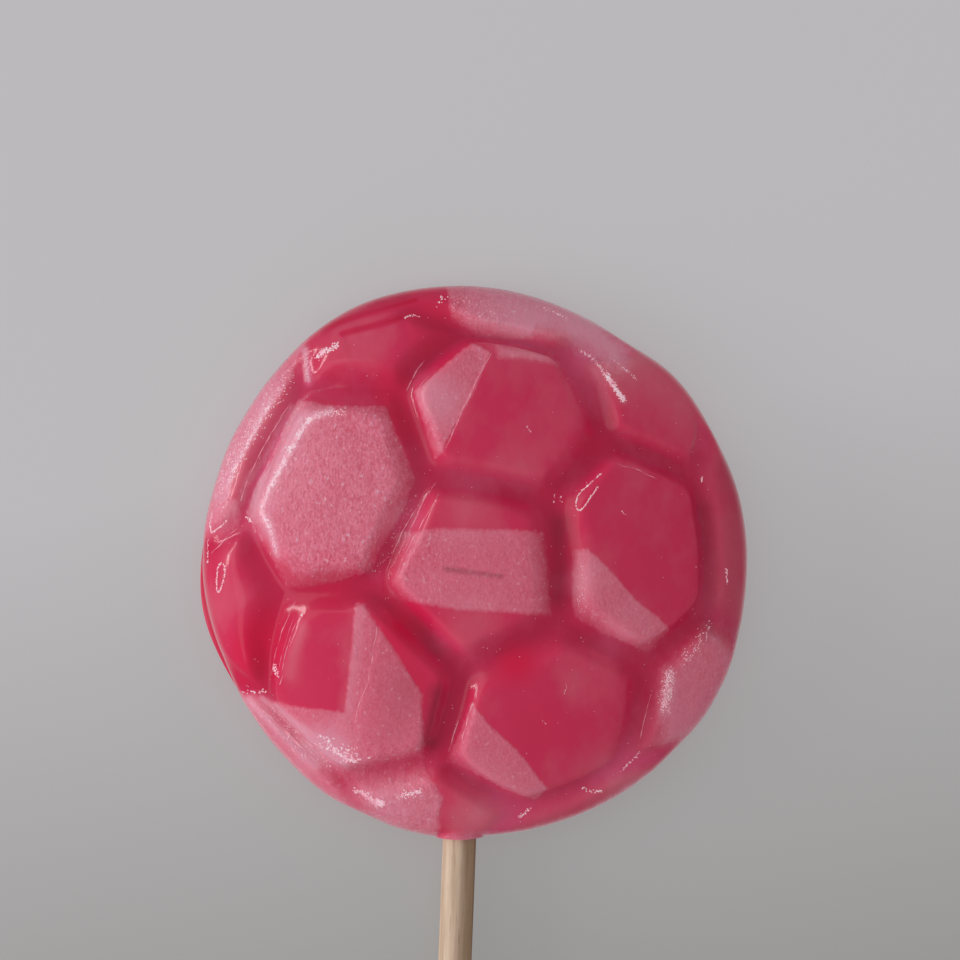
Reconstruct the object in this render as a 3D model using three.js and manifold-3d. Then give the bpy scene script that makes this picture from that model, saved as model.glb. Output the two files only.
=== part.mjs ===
// A boiled-sugar lollipop cast in a football mould, lying on its flat back.
//
// Millimetres. +Z points up out of the patterned face and the stick runs along -Y.
// The origin is on the flat back, in the middle of the round sweet.
//
// The sweet is a low dome on a short rim wall. The seams between the ball's
// panels are troughs cut into the dome; they meet in threes, at the corners of
// a truncated icosahedron seen from over one of its pentagons, and run out at
// the rim. The wooden stick is set in a blind hole in the rim, and a collar of
// sugar closes round it there.

import * as THREE from 'three';
import { mergeVertices } from 'three/addons/utils/BufferGeometryUtils.js';
import Module from 'manifold-3d';

// Sweet: overall form
const SWEET_RADIUS = 32.5;
const RIM_HEIGHT = 3.0; // height of the wall under the dome
const DOME_HEIGHT = 11.0; // from the top of the wall to the crown
const BACK_EDGE_RADIUS = 0.7;
const FLANGE_WIDTH = 0.8; // thin lip of sugar that ran out along part of the back
const FLANGE_HEIGHT = 0.9;
const FLANGE_AZIMUTH = 194; // degrees, middle of the lip
const FLANGE_HALF_SPAN = 20; // degrees

// The outline is a little out of round: [lobes, height in mm, azimuth in degrees]
const OUTLINE_LOBES = [
  [2, 0.31, -56.6],
  [3, 0.29, -5.3],
  [4, 0.09, 16.4],
  [5, 0.23, 41.7],
  [10, 0.08, 46.1],
];

// Ball pattern, laid over the dome
const BALL_RADIUS = 33.3;
const BALL_POLE = new THREE.Vector2(0.1, -1.1); // where the middle pentagon lies
const BALL_TURN = 46.1; // azimuth of the first pentagon of the ring, degrees
const PENTAGONS_ROUND = 5;
const RUN_OUT_RADIUS = 31.8; // the seams beside the ring pentagons end just inside the rim
const RUN_OUT_SPREAD = 13.5; // degrees to each side of the pentagon

// The mould was cut by hand. Each corner of the pattern is off the true ball
// by [mm outwards, degrees round], listed once for each pentagon of the ring.
const CORNER_DRIFT = {
  centre: [[1.2, -1], [1.2, 0], [0.1, -1], [0, 4], [0.7, -1]],
  inner: [[-0.9, 1], [0.3, -4], [-0.1, -1.5], [-0.6, 0], [-0.1, 0]],
  left: [[-0.4, 1], [1.1, -6], [0.5, 0.5], [0.2, -1], [-0.6, -3]],
  right: [[-0.1, 1], [-0.1, -1], [-0.7, 1.5], [0.5, 0.5], [0.3, -1.5]],
};

// Seams
const SEAM_DEPTH = 1.7;
const SEAM_FLOOR = 1.9; // width of the flat floor
const SEAM_WALL = 1.2; // width of each sloping wall
const SEAM_DEPTH_AT_RIM = 0.4;
const SHALLOWS_FROM = 27; // plan radius where the seams start to get shallower
const SEAM_STEP = 2.4; // longest straight piece of a curved seam

// Stick
const STICK_RADIUS = 2.0;
const STICK_LENGTH = 150;
const STICK_TOP = 2.0; // y of the end inside the sweet
const STICK_OFFSET = -0.4; // the stick is set slightly off the middle
const STICK_HEIGHT = 3.0; // height of its axis above the flat back
const STICK_CHAMFER = 0.4;
const SEAT_GAP = 0.3; // room between the stick and its hole
const COLLAR_RADIUS = 2.9; // collar of sugar round the stick
const COLLAR_OUTER_END = -32.1; // y of the collar's end at the rim
const COLLAR_LENGTH = 10;

const ROUND_STEPS = 72;
const DOME_STEPS = 12;
const BACK_EDGE_STEPS = 3;
const STICK_STEPS = 32;
const DEGREE = Math.PI / 180;

const wasm = await Module();
wasm.setup();

/** A closed geometry as a solid that can be joined and cut. */
function toSolid(geometry) {
  geometry.deleteAttribute('normal');
  geometry.deleteAttribute('uv');
  const merged = mergeVertices(geometry, 1e-4);
  const mesh = new wasm.Mesh({
    numProp: 3,
    vertProperties: new Float32Array(merged.attributes.position.array),
    triVerts: new Uint32Array(merged.index.array),
  });
  return new wasm.Manifold(mesh);
}

/** A cut solid as a geometry with flat-shaded faces. */
function toGeometry(solid) {
  const mesh = solid.getMesh();
  const geometry = new THREE.BufferGeometry();
  geometry.setAttribute('position', new THREE.BufferAttribute(mesh.vertProperties, mesh.numProp));
  geometry.setIndex(new THREE.BufferAttribute(mesh.triVerts, 1));
  geometry.computeVertexNormals();
  return geometry;
}

/** Direction on the unit ball at an angle from its pole and an azimuth, both in degrees. */
function ballDirection(polar, azimuth) {
  return new THREE.Vector3(
    Math.sin(polar * DEGREE) * Math.cos(azimuth * DEGREE),
    Math.sin(polar * DEGREE) * Math.sin(azimuth * DEGREE),
    Math.cos(polar * DEGREE),
  );
}

/** How far the outline stands out of the true circle at an azimuth, in mm. */
function outlineSwell(azimuth) {
  return OUTLINE_LOBES.reduce(
    (sum, [lobes, height, peak]) => sum + height * Math.cos(lobes * (azimuth - peak * DEGREE)),
    0,
  );
}

/** How far the wall stands back behind the lip at an azimuth, in mm. */
function wallSetback(azimuth) {
  const middle = FLANGE_AZIMUTH * DEGREE;
  const away = Math.atan2(Math.sin(azimuth - middle), Math.cos(azimuth - middle));
  const across = Math.min(1, Math.abs(away) / (FLANGE_HALF_SPAN * DEGREE));
  return FLANGE_WIDTH * Math.cos(across * Math.PI / 2) ** 2;
}

/** Radius of the top of the rim wall at an azimuth. */
function domeRadius(azimuth) {
  return SWEET_RADIUS + outlineSwell(azimuth) - wallSetback(azimuth);
}

/** Height of the plain dome over a point of the plan. */
function domeHeight(x, y) {
  const outwards = Math.min(1, Math.hypot(x, y) / domeRadius(Math.atan2(y, x)));
  return RIM_HEIGHT + DOME_HEIGHT * Math.sqrt(1 - outwards * outwards);
}

/** Outward normal of the plain dome over a point of the plan. */
function domeNormal(x, y) {
  const radius = domeRadius(Math.atan2(y, x));
  const outwards = Math.min(0.995, Math.hypot(x, y) / radius);
  const rise = DOME_HEIGHT * Math.sqrt(1 - outwards * outwards);
  return new THREE.Vector3(
    x / radius ** 2,
    y / radius ** 2,
    rise / DOME_HEIGHT ** 2,
  ).normalize();
}

/** Corners of the ball's panels as unit directions, by name and place in the ring. */
function panelCorners() {
  const ringPolar = Math.atan(2) / DEGREE;
  const pitch = 360 / PENTAGONS_ROUND;
  const pole = new THREE.Vector3(0, 0, 1);
  const ring = Array.from(
    { length: PENTAGONS_ROUND },
    (_, k) => ballDirection(ringPolar, BALL_TURN + k * pitch),
  );
  // a corner lies a third of the way along each edge of the icosahedron
  const third = (from, to) => from.clone().lerp(to, 1 / 3).normalize();

  const drifted = (direction, kind, k) => {
    const [out, round] = CORNER_DRIFT[kind][k];
    const radius = (Math.hypot(direction.x, direction.y) * BALL_RADIUS + out) / BALL_RADIUS;
    const azimuth = Math.atan2(direction.y, direction.x) / DEGREE + round;
    return ballDirection(Math.asin(radius) / DEGREE, azimuth);
  };
  const runOut = (k, side) => ballDirection(
    Math.asin(RUN_OUT_RADIUS / BALL_RADIUS) / DEGREE,
    BALL_TURN + k * pitch + side * RUN_OUT_SPREAD,
  );

  return ring.map((pentagon, k) => {
    const next = ring[(k + 1) % PENTAGONS_ROUND];
    const previous = ring[(k + PENTAGONS_ROUND - 1) % PENTAGONS_ROUND];
    return {
      centre: drifted(third(pole, pentagon), 'centre', k),
      inner: drifted(third(pentagon, pole), 'inner', k),
      left: drifted(third(pentagon, next), 'left', k),
      right: drifted(third(pentagon, previous), 'right', k),
      leftEnd: runOut(k, 1),
      rightEnd: runOut(k, -1),
    };
  });
}

/** Every seam as a pair of corners. */
function seams(corners) {
  return corners.flatMap((corner, k) => {
    const next = corners[(k + 1) % PENTAGONS_ROUND];
    return [
      [corner.centre, next.centre],
      [corner.centre, corner.inner],
      [corner.inner, corner.left],
      [corner.inner, corner.right],
      [corner.left, next.right],
      [corner.left, corner.leftEnd],
      [corner.right, corner.rightEnd],
    ];
  });
}

/** Place on the dome under a direction of the ball. */
function onDome(direction) {
  const x = BALL_POLE.x + BALL_RADIUS * direction.x;
  const y = BALL_POLE.y + BALL_RADIUS * direction.y;
  return { point: new THREE.Vector3(x, y, domeHeight(x, y)), normal: domeNormal(x, y) };
}

/** Depth of a seam at a plan radius: full in the middle, shallow at the rim. */
function seamDepth(radius) {
  const out = THREE.MathUtils.smoothstep(radius, SHALLOWS_FROM, SWEET_RADIUS);
  return THREE.MathUtils.lerp(SEAM_DEPTH, SEAM_DEPTH_AT_RIM, out);
}

/**
 * The solid that cuts one seam: a flat floor and two sloping walls, which run
 * on at the same slope to as far above the dome as the floor is below it.
 */
function seamTrough([from, to]) {
  const length = from.angleTo(to) * BALL_RADIUS;
  const steps = Math.ceil(length / SEAM_STEP);
  const axis = from.clone().cross(to).normalize();
  const stations = Array.from({ length: steps + 1 }, (_, i) => {
    const direction = from.clone().applyAxisAngle(axis, from.angleTo(to) * (i / steps));
    return onDome(direction);
  });

  const positions = [];
  stations.forEach(({ point, normal }, i) => {
    const before = stations[Math.max(0, i - 1)].point;
    const after = stations[Math.min(steps, i + 1)].point;
    const along = after.clone().sub(before).normalize();
    const side = along.clone().cross(normal).normalize();
    const depth = seamDepth(Math.hypot(point.x, point.y));
    const floorEdge = SEAM_FLOOR / 2;
    const topEdge = floorEdge + SEAM_WALL * 2;
    const section = [
      [-floorEdge, -depth],
      [floorEdge, -depth],
      [topEdge, depth],
      [-topEdge, depth],
    ];
    for (const [across, up] of section) {
      const corner = point.clone().addScaledVector(side, across).addScaledVector(normal, up);
      positions.push(...corner.toArray());
    }
  });

  const sides = positions.length / 3 / stations.length;
  const index = [];
  for (let i = 0; i < steps; i += 1) {
    for (let j = 0; j < sides; j += 1) {
      const a = i * sides + j;
      const b = i * sides + (j + 1) % sides;
      index.push(a, b + sides, b, a, a + sides, b + sides);
    }
  }
  const last = steps * sides;
  for (let j = 1; j < sides - 1; j += 1) {
    index.push(0, j, j + 1);
    index.push(last, last + j + 1, last + j);
  }
  const geometry = new THREE.BufferGeometry();
  geometry.setAttribute('position', new THREE.Float32BufferAttribute(positions, 3));
  geometry.setIndex(index);
  return toSolid(geometry);
}

/** The plain sweet: flat back, rounded back edge, rim wall and dome, a little out of round. */
function plainSweet() {
  const edgeCentre = SWEET_RADIUS - BACK_EDGE_RADIUS;
  const backEdge = new THREE.EllipseCurve(
    edgeCentre, BACK_EDGE_RADIUS, BACK_EDGE_RADIUS, BACK_EDGE_RADIUS, -Math.PI / 2, 0,
  );
  const dome = new THREE.EllipseCurve(0, RIM_HEIGHT, SWEET_RADIUS, DOME_HEIGHT, 0, Math.PI / 2);
  const points = [
    new THREE.Vector2(0, 0),
    ...backEdge.getPoints(BACK_EDGE_STEPS),
    new THREE.Vector2(SWEET_RADIUS, FLANGE_HEIGHT),
    new THREE.Vector2(SWEET_RADIUS, FLANGE_HEIGHT + BACK_EDGE_RADIUS),
    ...dome.getPoints(DOME_STEPS),
  ];
  points.at(-1).x = 0;

  const geometry = new THREE.LatheGeometry(points, ROUND_STEPS);
  geometry.rotateX(Math.PI / 2);
  const position = geometry.attributes.position;
  for (let i = 0; i < position.count; i += 1) {
    const x = position.getX(i);
    const y = position.getY(i);
    const azimuth = Math.atan2(y, x);
    const outwards = Math.hypot(x, y) / SWEET_RADIUS;
    const setback = position.getZ(i) > FLANGE_HEIGHT + 1e-3 ? wallSetback(azimuth) : 0;
    const scale = 1 + (outlineSwell(azimuth) - setback) / SWEET_RADIUS * Math.min(1, outwards);
    position.setXY(i, x * scale, y * scale);
  }
  return toSolid(geometry);
}

/** A round rod on the stick's axis, from the given y along -Y, with bevelled ends. */
function rod(radius, length, fromY, chamfer) {
  const geometry = new THREE.LatheGeometry([
    new THREE.Vector2(0, 0),
    new THREE.Vector2(radius - chamfer, 0),
    new THREE.Vector2(radius, chamfer),
    new THREE.Vector2(radius, length - chamfer),
    new THREE.Vector2(radius - chamfer, length),
    new THREE.Vector2(0, length),
  ], STICK_STEPS);
  geometry.translate(0, fromY - length, 0);
  geometry.translate(STICK_OFFSET, 0, STICK_HEIGHT);
  return geometry;
}

function candyHead() {
  const troughs = seams(panelCorners()).map(seamTrough);
  const allTroughs = troughs.reduce((sum, trough) => sum.add(trough));
  const collar = toSolid(
    rod(COLLAR_RADIUS, COLLAR_LENGTH, COLLAR_OUTER_END + COLLAR_LENGTH, STICK_CHAMFER),
  );
  const hole = toSolid(
    rod(STICK_RADIUS + SEAT_GAP, STICK_LENGTH, STICK_TOP + SEAT_GAP, STICK_CHAMFER),
  );
  const material = new THREE.MeshStandardMaterial({
    color: 0xc85a78,
    roughness: 0.22,
    metalness: 0,
  });
  const mesh = new THREE.Mesh(
    toGeometry(plainSweet().subtract(allTroughs).add(collar).subtract(hole)),
    material,
  );
  mesh.name = 'candy_head';
  return mesh;
}

function stick() {
  const material = new THREE.MeshStandardMaterial({
    color: 0xb89a80,
    roughness: 0.75,
    metalness: 0,
  });
  const mesh = new THREE.Mesh(rod(STICK_RADIUS, STICK_LENGTH, STICK_TOP, STICK_CHAMFER), material);
  mesh.name = 'stick';
  return mesh;
}

const lollipop = new THREE.Group();
lollipop.add(candyHead(), stick());

export default lollipop;
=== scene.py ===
"""A boiled-sugar lollipop cast in a football mould, lying on its flat back on a pale floor.

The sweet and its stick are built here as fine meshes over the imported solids.
Lengths in the constants are millimetres; meshes, lights and the camera are placed in metres.
"""

import math

import bpy
import numpy as np
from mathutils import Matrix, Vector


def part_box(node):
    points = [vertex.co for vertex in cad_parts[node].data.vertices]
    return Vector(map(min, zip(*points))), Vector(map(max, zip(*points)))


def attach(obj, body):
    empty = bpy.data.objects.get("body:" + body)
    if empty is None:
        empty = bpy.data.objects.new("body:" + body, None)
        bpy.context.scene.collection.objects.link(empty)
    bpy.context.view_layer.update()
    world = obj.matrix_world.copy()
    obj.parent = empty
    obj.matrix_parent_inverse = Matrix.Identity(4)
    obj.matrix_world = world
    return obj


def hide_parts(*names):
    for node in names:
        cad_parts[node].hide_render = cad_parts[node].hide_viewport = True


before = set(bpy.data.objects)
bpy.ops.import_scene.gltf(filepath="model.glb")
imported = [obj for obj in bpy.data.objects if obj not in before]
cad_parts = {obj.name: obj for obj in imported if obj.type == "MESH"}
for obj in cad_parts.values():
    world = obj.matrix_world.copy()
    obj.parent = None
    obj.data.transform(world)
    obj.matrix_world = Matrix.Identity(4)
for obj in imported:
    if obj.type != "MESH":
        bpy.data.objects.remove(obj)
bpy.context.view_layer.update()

MM = 0.001

# The photograph: where the sweet stands in it, and its scale
PHOTO_SIDE_PX = 960
MM_PER_PX = 4.0 / 33.7  # the stick is 4 mm and 33.7 px wide
SWEET_CENTRE_PX = (473.3, 561.6)
LEAN = math.radians(2.16)  # the stick leans this much to the right in the picture
CAMERA_DISTANCE = 450.0
RIM_PLANE = 3.0  # height above the floor at which the scale above holds

# Sweet: overall form, as in the solids
SWEET_RADIUS = 32.5
RIM_HEIGHT = 3.0
DOME_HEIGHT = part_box("candy_head")[1].z / MM - RIM_HEIGHT
BACK_EDGE_RADIUS = 0.7
LIP_WIDTH = 0.8
LIP_HEIGHT = 0.9
LIP_AZIMUTH = math.radians(194)
LIP_HALF_SPAN = math.radians(20)
LIP_PROFILE = ((0.5, 0.97), (0.9, 0.93), (1.0, 0.8))  # share of the way out, share of its height
OUTLINE_LOBES = [(2, 0.31, -56.6), (3, 0.29, -5.3), (4, 0.09, 16.4), (5, 0.23, 41.7), (10, 0.08, 46.1)]
# small bumps and dips of the hand-poured rim: azimuth, half span, height
OUTLINE_BUMPS = [
    (17, 14, 0.14),
    (43, 8, 0.24),
    (57, 7, -0.2),
    (110, 14, -0.12),
    (160, 22, -0.12),
    (193, 11, 0.34),
    (219, 12, -0.26),
    (241, 10, 0.22),
    (281, 16, 0.16),
    (310, 14, 0.18),
]

# Ball pattern
BALL_RADIUS = 33.3
BALL_LIMIT = 0.9995  # how far out the pattern is read on the ball, as a share of its radius
BALL_POLE = np.array([0.1, -1.1])
BALL_TURN = 46.1
PENTAGONS_ROUND = 5
RUN_OUT_RADIUS = 31.8
RUN_OUT_SPREAD = 13.5
CORNER_DRIFT = {
    "centre": [(1.2, -1), (1.2, 0), (0.1, -1), (0, 4), (0.7, -1)],
    "inner": [(-0.9, 1), (0.3, -4), (-0.1, -1.5), (-0.6, 0), (-0.1, 0)],
    "left": [(-0.4, 1), (1.1, -6), (0.5, 0.5), (0.2, -1), (-0.6, -3)],
    "right": [(-0.1, 1), (-0.1, -1), (-0.7, 1.5), (0.5, 0.5), (0.3, -1.5)],
}
SEAM_DEPTH = 1.7
SEAM_FLOOR = 1.9
SEAM_WALL = 1.4
SEAM_DEPTH_AT_RIM = 0.12
SHALLOWS_FROM = 27.0
CORNER_SHARPNESS = 2.6  # per mm; higher makes the panels' corners sharper
EDGE_SOFTNESS = 0.13  # how far a panel's edge is rounded over
FOOT_SOFTNESS = 0.28  # the same where the wall meets the seam's floor
EDGE_WAVER = 0.05  # the hand-cut edges waver by about this much

# Mesh fineness
CAP_RINGS = 150
PROFILE_STEPS = 4000
WALL_ROWS = 13
BACK_EDGE_ROWS = 4
BACK_RINGS = (0.96, 0.88, 0.75, 0.5, 0.25)  # radii, as shares of the flat back's
FEWEST_ON_A_BACK_RING = 24


def unit(vectors):
    return vectors / np.linalg.norm(vectors, axis=-1, keepdims=True)


def ball_direction(polar, azimuth):
    """Unit direction at an angle from the ball's pole and an azimuth, both in degrees."""
    polar, azimuth = math.radians(polar), math.radians(azimuth)
    return np.array([
        math.sin(polar) * math.cos(azimuth),
        math.sin(polar) * math.sin(azimuth),
        math.cos(polar),
    ])


def full_turn(count):
    """Azimuths of evenly spaced vertices on a ring."""
    return np.arange(count) * 2 * math.pi / count


def turn_between(azimuth, middle):
    """Signed angle from the middle, the short way round."""
    return np.angle(np.exp(1j * (azimuth - middle)))


def level_ring(radius, azimuth, height):
    """Points of a level ring with a radius for each azimuth."""
    return np.column_stack([
        radius * np.cos(azimuth),
        radius * np.sin(azimuth),
        np.full(len(azimuth), height),
    ])


def beside_line(plan, start, end):
    """How far points of the plan lie along a line and to its left, and the line's length."""
    start, end = np.array(start), np.array(end)
    length = np.linalg.norm(end - start)
    along = (end - start) / length
    offset = plan - start
    return offset @ along, offset @ np.array([-along[1], along[0]]), length


def smoothstep(low, high, value):
    t = np.clip((value - low) / (high - low), 0, 1)
    return t * t * (3 - 2 * t)


def ramp(low, high, value, low_softness, high_softness):
    """0 below low, 1 above high, straight between, with both ends rounded over."""
    def rise(edge, softness):
        return softness * np.logaddexp(0, (value - edge) / softness)
    return (rise(low, low_softness) - rise(high, high_softness)) / (high - low)


def wander(points, wavelength, seed, waves=7):
    """A smooth random field over the plan, about -1 to 1, from a few crossing waves."""
    random = np.random.default_rng(seed)
    total = np.zeros(len(points))
    for _ in range(waves):
        turn = random.uniform(0, 2 * math.pi)
        reach = 2 * math.pi / (wavelength * random.uniform(0.7, 1.5))
        along = points @ np.array([math.cos(turn), math.sin(turn)])
        total += np.sin(along * reach + random.uniform(0, 2 * math.pi))
    return total / math.sqrt(waves)


def spot(plan, middle, reach, crispness=4):
    """1 within a round spot on the plan, falling softly to 0 outside it."""
    away = np.linalg.norm(plan - np.array(middle), axis=1) / reach
    return np.exp(-(away**crispness))


# ---- form


def outline_swell(azimuth):
    swell = sum(
        height * np.cos(lobes * (azimuth - math.radians(peak)))
        for lobes, height, peak in OUTLINE_LOBES
    )
    for middle, half_span, height in OUTLINE_BUMPS:
        away = turn_between(azimuth, math.radians(middle))
        swell = swell + height * np.exp(-((away / math.radians(half_span)) ** 2))
    return swell


def wall_setback(azimuth):
    across = np.minimum(1, np.abs(turn_between(azimuth, LIP_AZIMUTH)) / LIP_HALF_SPAN)
    return LIP_WIDTH * np.cos(across * math.pi / 2) ** 2


def dome_radius(azimuth):
    return SWEET_RADIUS + outline_swell(azimuth) - wall_setback(azimuth)


def panel_corners():
    """The pattern's corners as unit directions, by name, for each pentagon of the ring."""
    ring_polar = math.degrees(math.atan(2))
    pitch = 360 / PENTAGONS_ROUND
    pole = np.array([0, 0, 1.0])
    ring = [ball_direction(ring_polar, BALL_TURN + k * pitch) for k in range(PENTAGONS_ROUND)]

    def third(start, end):
        return unit(start + (end - start) / 3)

    def drifted(direction, kind, k):
        out, turn = CORNER_DRIFT[kind][k]
        radius = (math.hypot(direction[0], direction[1]) * BALL_RADIUS + out) / BALL_RADIUS
        azimuth = math.degrees(math.atan2(direction[1], direction[0])) + turn
        return ball_direction(math.degrees(math.asin(radius)), azimuth)

    def run_out(k, side):
        polar = math.degrees(math.asin(RUN_OUT_RADIUS / BALL_RADIUS))
        return ball_direction(polar, BALL_TURN + k * pitch + side * RUN_OUT_SPREAD)

    corners = []
    for k, pentagon in enumerate(ring):
        following = ring[(k + 1) % PENTAGONS_ROUND]
        previous = ring[k - 1]
        corners.append({
            "centre": drifted(third(pole, pentagon), "centre", k),
            "inner": drifted(third(pentagon, pole), "inner", k),
            "left": drifted(third(pentagon, following), "left", k),
            "right": drifted(third(pentagon, previous), "right", k),
            "left_end": run_out(k, 1),
            "right_end": run_out(k, -1),
        })
    return corners


def seams():
    corners = panel_corners()
    found = []
    for k, corner in enumerate(corners):
        following = corners[(k + 1) % PENTAGONS_ROUND]
        found += [
            (corner["centre"], following["centre"]),
            (corner["centre"], corner["inner"]),
            (corner["inner"], corner["left"]),
            (corner["inner"], corner["right"]),
            (corner["left"], following["right"]),
            (corner["left"], corner["left_end"]),
            (corner["right"], corner["right_end"]),
        ]
    return found


def lift(plan):
    """The ball's directions over points of the plan."""
    flat = (plan - BALL_POLE) / BALL_RADIUS
    reach = np.linalg.norm(flat, axis=1, keepdims=True)
    flat = flat / np.maximum(1, reach / BALL_LIMIT)
    up = np.sqrt(np.maximum(0, 1 - (flat**2).sum(1, keepdims=True)))
    return np.hstack([flat, up])


def seam_distance(plan):
    """Distance over the ball from points of the plan to the nearest seam, in mm.

    Seams that meet are blended, which rounds the corners of the panels.
    """
    directions = lift(plan)
    total = np.zeros(len(plan))
    for start, end in seams():
        axis = unit(np.cross(start, end))
        off = np.arcsin(np.clip(np.abs(directions @ axis), 0, 1))
        beside = (directions @ np.cross(axis, start) >= 0) & (directions @ np.cross(end, axis) >= 0)
        to_start = np.arccos(np.clip(directions @ start, -1, 1))
        to_end = np.arccos(np.clip(directions @ end, -1, 1))
        distance = np.where(beside, off, np.minimum(to_start, to_end)) * BALL_RADIUS
        total += np.exp(-CORNER_SHARPNESS * distance)
    uneven = EDGE_WAVER * (wander(plan, 6.0, seed=31) + 0.2 * wander(plan, 1.5, seed=32))
    return -np.log(total) / CORNER_SHARPNESS + uneven


# Where the seams' walls are wider and their edges rounder:
# middle on the plan, reach, width of the wall, softness of its edge and of its foot
SOFT_SPOTS = [
    ((-22.4, 10), 9, 2.3, 0.25, 0.2),
    ((-8, 3.5), 4.5, 1.8, 0.16, 0.2),
    ((-8, 13), 4, 1.9, 0.4, 0.3),
    ((11.4, 0), 8, 2.3, 0.4, 0.65),
    ((5.3, -11.3), 5, 1.7, 0.45, 0.65),
    ((23.4, -14.1), 5.5, 2.4, 0.4, 0.5),
    ((14, 22), 5, 2.6, 0.3, 0.6),
    ((29.8, 4.9), 8, 1.5, 0.45, 0.7),
    ((-19.9, 22.9), 3.5, 1.6, 0.3, 0.5),
    ((-25.4, -5.5), 7, 3, 0.9, 0.8),
    ((-17.5, -4.6), 3.8, 1.6, 0.4, 0.7),
    ((-6.1, 27.1), 5.5, 1.8, 0.5, 0.65),
    ((-9, -26.5), 5, 2, 0.4, 0.4),
    ((9, -29), 6, 1.8, 0.4, 0.5),
    ((22, 2), 6, 1.9, 0.35, 0.45),
    ((14.5, -20), 6.5, 1.7, 0.35, 0.5),
    ((-14, 21), 4.5, 2, 0.3, 0.7),
    ((-18.2, 17.9), 2.6, 3.2, 0.25, 0.6),
    ((-13.6, 18.3), 2.9, 3.4, 0.25, 0.6),
    ((9, 17), 6, 1.6, 0.25, 0.4),
]


def seam_share(plan):
    """1 on a seam's floor, 0 on a panel."""
    wall = np.full(len(plan), SEAM_WALL)
    edge = np.full(len(plan), EDGE_SOFTNESS)
    foot = np.full(len(plan), FOOT_SOFTNESS)
    for middle, reach, wide_wall, soft_edge, soft_foot in SOFT_SPOTS:
        share = spot(plan, middle, reach)
        wall += (wide_wall - wall) * share
        edge += (soft_edge - edge) * share
        foot += (soft_foot - foot) * share
    floor_edge = SEAM_FLOOR / 2
    distance = seam_distance(plan)
    rise = ramp(floor_edge, floor_edge + wall, distance, foot, edge)
    return 1 - rise, distance


def seam_depth(radius):
    out = smoothstep(SHALLOWS_FROM, SWEET_RADIUS, radius)
    return SEAM_DEPTH + (SEAM_DEPTH_AT_RIM - SEAM_DEPTH) * out


# Folds in the sugar: small steps across a line on a panel (start, end, height)
CREASES = [
    ((1.1, 24.6), (-4, 12.6), 0.16),
    ((-10.3, -7), (-11.3, -12.5), 0.1),
    ((-11.3, -12.5), (-13.2, -19.6), 0.1),
    ((-16.6, 26), (-8.6, 28.8), 0.12),
    ((-15.4, 27.6), (-8, 30.2), 0.08),
]
CREASE_SOFTNESS = 0.09
CREASE_REACH = 4.0  # how far to its low side a fold's step dies away
CREASE_END = 0.8  # over what length it dies away at both ends


def crease_relief(plan):
    """Height of the folds: each is a step down to its right, which dies away there."""
    height = np.zeros(len(plan))
    for start, end, rise in CREASES:
        along, left, length = beside_line(plan, start, end)
        within = smoothstep(0, CREASE_END, along) * (1 - smoothstep(length - CREASE_END, length, along))
        step = 1 / (1 + np.exp(np.clip(left / CREASE_SOFTNESS, -60, 60)))
        fall = 1 - smoothstep(0, CREASE_REACH, np.abs(left))
        height -= rise * step * fall * within
    return height


# A thin dent on the middle panel
DENT_START = (-3.9, -0.6)
DENT_END = (4.3, -1.4)
DENT_HALF_WIDTH = 0.55
DENT_DEPTH = 0.22


def dent_share(plan):
    """1 in the middle of the dent, 0 outside it."""
    along, left, length = beside_line(plan, DENT_START, DENT_END)
    width = DENT_HALF_WIDTH * np.sin(math.pi * np.clip(along / length, 0, 1)) ** 0.8 + 1e-3
    outside = (along < 0) | (along > length)
    return np.where(outside, 0, np.exp(-((left / width) ** 2) * 2))


PILLOW_DROP = 0.05  # how much lower a panel's edge is than its middle
PILLOW_REACH = 0.5
SURFACE_WAVE = 0.015
SURFACE_WAVELENGTH = 7.0


def dress_relief(plan):
    """Height of the fine relief on top of the plain dome, and the seams' share."""
    share, distance = seam_share(plan)
    radius = np.linalg.norm(plan, axis=1)
    height = -seam_depth(radius) * share
    edge = SEAM_FLOOR / 2 + SEAM_WALL
    height -= PILLOW_DROP * np.exp(-np.maximum(0, distance - edge) / PILLOW_REACH) * (1 - share)
    height += crease_relief(plan) * (1 - share)
    height -= DENT_DEPTH * dent_share(plan)
    height += SURFACE_WAVE * wander(plan, SURFACE_WAVELENGTH, seed=11)
    return height, share


# Collar of sugar that closes round the stick at the rim
STICK_LOW, STICK_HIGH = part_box("stick")
STICK_RADIUS = (STICK_HIGH.x - STICK_LOW.x) / 2 / MM
STICK_AXIS_X = (STICK_HIGH.x + STICK_LOW.x) / 2 / MM
STICK_AXIS_Z = (STICK_HIGH.z + STICK_LOW.z) / 2 / MM
COLLAR_THICKNESS = 0.9
COLLAR_RADIUS = STICK_RADIUS + COLLAR_THICKNESS
COLLAR_BLEND = 5.0  # per mm; lower melts the collar further into the dome
COLLAR_FROM_RIM = 6.0  # how far in from the rim it can reach


def collar_height(x):
    """Height of the sugar that covers the stick where it enters the rim."""
    off = np.clip(np.abs(x - STICK_AXIS_X) / COLLAR_RADIUS, 0, 1)
    return STICK_AXIS_Z + COLLAR_RADIUS * np.sqrt(1 - off**2)


def dome_at(plan):
    """Points of the plain dome over the plan, and its normals there."""
    azimuth = np.arctan2(plan[:, 1], plan[:, 0])
    local = dome_radius(azimuth)
    inward = np.minimum(1, np.linalg.norm(plan, axis=1) / local)
    rise = DOME_HEIGHT * np.sqrt(1 - inward**2)
    normal = unit(np.column_stack([
        plan[:, 0] / local**2,
        plan[:, 1] / local**2,
        rise / DOME_HEIGHT**2,
    ]))
    return np.column_stack([plan, RIM_HEIGHT + rise]), normal


# How the point of the dome below a place on the finished surface is searched
SURFACE_TRIES = 8
SURFACE_STRIDE = 0.6


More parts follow.
